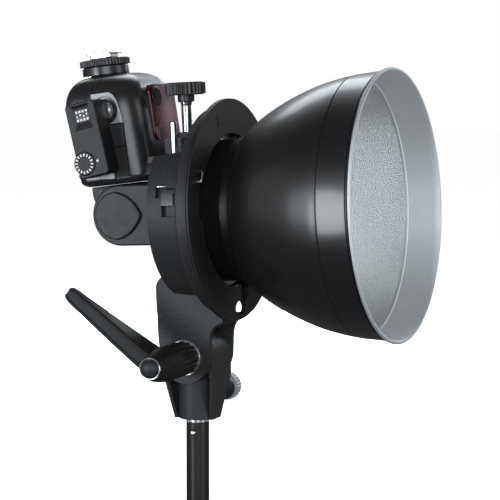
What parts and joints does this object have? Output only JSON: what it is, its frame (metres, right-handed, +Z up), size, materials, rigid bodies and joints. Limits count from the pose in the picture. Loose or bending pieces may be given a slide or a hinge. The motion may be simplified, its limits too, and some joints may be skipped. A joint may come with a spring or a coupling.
{
  "type": "clamp-on studio flash head",
  "caption": "Speedlight clamped in a ring bracket with a bowl reflector, tilting and panning on a stand socket; plug-in radio receiver on its side.",
  "frame": {"origin": "centre of the stand tube's lower end, where it leaves the light stand", "axes": "+Z up along the stand tube, +X the way the light points at zero tilt, +Y to the far side from the clamping lever"},
  "size_m": [0.2394, 0.1836, 0.3149],
  "materials": {
    "satin_paint": "satin black powder coat",
    "reflector_paint": "satin-gloss black outside, silver inside",
    "steel": "machined",
    "bright_steel": "polished",
    "chrome": "bright chrome",
    "brass": "plain brass",
    "grained_plastic": "fine matte grain",
    "flash_plastic": "satin black",
    "receiver_plastic": "dark grey, matte",
    "rubber": "matte rubber",
    "clear_plastic": "ribbed clear plastic",
    "glass_tube": "clear glass",
    "bright_aluminium": "polished",
    "red_panel": "dark red translucent, glossy",
    "display": "display window",
    "capacitor_sleeve": "heat-shrink sleeve"
  },
  "bodies": {
    "stand_tube": {"stand_tube": "satin_paint", "stand_spigot": "steel", "spigot_rivet": "brass"},
    "socket": {"socket_housing": "grained_plastic"},
    "stand_lock": {"stand_lock_knob": "grained_plastic", "stand_lock_screw": "steel"},
    "bracket": {"bracket_frame": "grained_plastic", "mount_ring": "satin_paint", "ring_screw_1": "steel", "ring_screw_2": "steel", "ring_screw_3": "steel", "lock_staple": "chrome", "clamp_nut": "brass", "cradle_pad": "rubber", "umbrella_screw": "steel", "tilt_bolt": "steel", "tilt_nut": "steel", "friction_washer_near": "rubber", "friction_washer_far": "rubber", "flash_head_shell": "flash_plastic", "head_lens": "clear_plastic", "hinge_cap_near": "flash_plastic", "hinge_cap_far": "flash_plastic"},
    "tilt_lever": {"lever_washer": "chrome", "lever_insert": "brass", "lever_handle": "grained_plastic", "lever_cap_screw": "flash_plastic"},
    "clamp_carriage": {"pressure_plate": "satin_paint", "pressure_pad": "rubber", "guide_pin_near": "chrome", "guide_pin_far": "chrome"},
    "clamp_knob": {"clamp_knob": "grained_plastic", "clamp_screw": "chrome"},
    "release_lever": {"release_lever": "grained_plastic"},
    "reflector": {"reflector_shell": "reflector_paint", "reflector_bayonet": "steel"},
    "zoom_carriage": {"zoom_mirror": "bright_aluminium", "flash_tube": "glass_tube"},
    "flash_yoke": {"flash_yoke": "flash_plastic"},
    "flash_body": {"flash_body_front": "flash_plastic", "flash_body_rear": "flash_plastic", "front_window": "red_panel", "sync_socket": "chrome", "port_cover_lower": "rubber", "port_cover_upper": "rubber", "lcd_window": "display", "battery_pack": "flash_plastic", "flash_capacitor": "capacitor_sleeve", "foot_neck": "flash_plastic", "shoe_plate": "bright_steel"},
    "battery_door": {"battery_door": "flash_plastic"},
    "foot_lock_ring": {"foot_lock_ring": "grained_plastic"},
    "select_dial": {"select_dial": "grained_plastic"},
    "set_button": {"set_button": "flash_plastic"},
    "power_button": {"power_button": "rubber"},
    "test_button": {"test_button": "rubber"},
    "mode_button": {"mode_button": "rubber"},
    "receiver": {"receiver_case": "receiver_plastic", "receiver_window": "display"},
    "receiver_dial": {"receiver_dial": "receiver_plastic"}
  },
  "joints": [
    {"name": "socket_pan", "type": "hinge", "parent": "stand_tube", "child": "socket", "pos_m": [0, 0, 0.08], "axis": [0, 0, 1], "continuous": true},
    {"name": "stand_lock_turn", "type": "hinge", "parent": "socket", "child": "stand_lock", "pos_m": [0, 0.04, 0.076], "axis": [0, 1, 0], "continuous": true},
    {"name": "head_tilt", "type": "hinge", "parent": "socket", "child": "bracket", "pos_m": [0, 0, 0.106], "axis": [0, -1, 0], "range_deg": [-80, 80]},
    {"name": "tilt_lever_turn", "type": "hinge", "parent": "bracket", "child": "tilt_lever", "pos_m": [0, -0.04, 0.106], "axis": [0, -1, 0], "range_deg": [-40, 170]},
    {"name": "clamp_slide", "type": "slide", "parent": "bracket", "child": "clamp_carriage", "axis": [-0.0523, 0, 0.9986], "range_m": [0, 0.0068]},
    {"name": "clamp_turn", "type": "hinge", "parent": "clamp_carriage", "child": "clamp_knob", "pos_m": [-0.00685, 0, 0.25585], "axis": [-0.0523, 0, 0.9986], "range_deg": [-5, 2025]},
    {"name": "release_lever_swing", "type": "hinge", "parent": "bracket", "child": "release_lever", "pos_m": [-0.00519, 0, 0.20506], "axis": [0.9986, 0, 0.0523], "range_deg": [0, 6], "stiffness_Nm_per_rad": 0.4},
    {"name": "reflector_twist", "type": "hinge", "parent": "bracket", "child": "reflector", "pos_m": [0.02477, 0, 0.20663], "axis": [0.9986, 0, 0.0523], "range_deg": [-25, 0]},
    {"name": "zoom_slide", "type": "slide", "parent": "bracket", "child": "zoom_carriage", "axis": [0.9986, 0, 0.0523], "range_m": [-0.006, 0.01]},
    {"name": "flash_tilt", "type": "hinge", "parent": "bracket", "child": "flash_yoke", "pos_m": [-0.04214, 0, 0.20313], "axis": [0, -1, 0], "range_deg": [0, 80]},
    {"name": "flash_swivel", "type": "hinge", "parent": "flash_yoke", "child": "flash_body", "pos_m": [-0.04984, 0, 0.2233], "axis": [-0.1305, 0, 0.9914], "range_deg": [-10, 10]},
    {"name": "battery_door_swing", "type": "hinge", "parent": "flash_body", "child": "battery_door", "pos_m": [-0.05977, 0.0386, 0.25426], "axis": [-0.1305, 0, 0.9914], "range_deg": [-95, 0]},
    {"name": "foot_lock_turn", "type": "hinge", "parent": "flash_body", "child": "foot_lock_ring", "pos_m": [-0.07035, 0, 0.30633], "axis": [-0.1305, 0, 0.9914], "range_deg": [-70, 0]},
    {"name": "select_dial_turn", "type": "hinge", "parent": "flash_body", "child": "select_dial", "pos_m": [-0.08478, 0, 0.27417], "axis": [0.9914, 0, 0.1305], "continuous": true},
    {"name": "set_button_press", "type": "slide", "parent": "flash_body", "child": "set_button", "axis": [0.9914, 0, 0.1305], "range_m": [0, 0.0009], "stiffness_N_per_m": 250},
    {"name": "power_button_press", "type": "slide", "parent": "flash_body", "child": "power_button", "axis": [0.9914, 0, 0.1305], "range_m": [0, 0.0009], "stiffness_N_per_m": 250},
    {"name": "test_button_press", "type": "slide", "parent": "flash_body", "child": "test_button", "axis": [0.9914, 0, 0.1305], "range_m": [0, 0.0009], "stiffness_N_per_m": 250},
    {"name": "mode_button_press", "type": "slide", "parent": "flash_body", "child": "mode_button", "axis": [0.9914, 0, 0.1305], "range_m": [0, 0.0009], "stiffness_N_per_m": 250},
    {"name": "receiver_unplug", "type": "slide", "parent": "flash_body", "child": "receiver", "axis": [0, -1, 0], "range_m": [0, 0.012]},
    {"name": "receiver_dial_turn", "type": "hinge", "parent": "receiver", "child": "receiver_dial", "pos_m": [-0.05768, -0.055, 0.2392], "axis": [0, -1, 0], "continuous": true}
  ],
  "couplings": [
    {"joint": "clamp_turn", "follows": "clamp_slide", "rad_per_m": 5026.5}
  ]
}
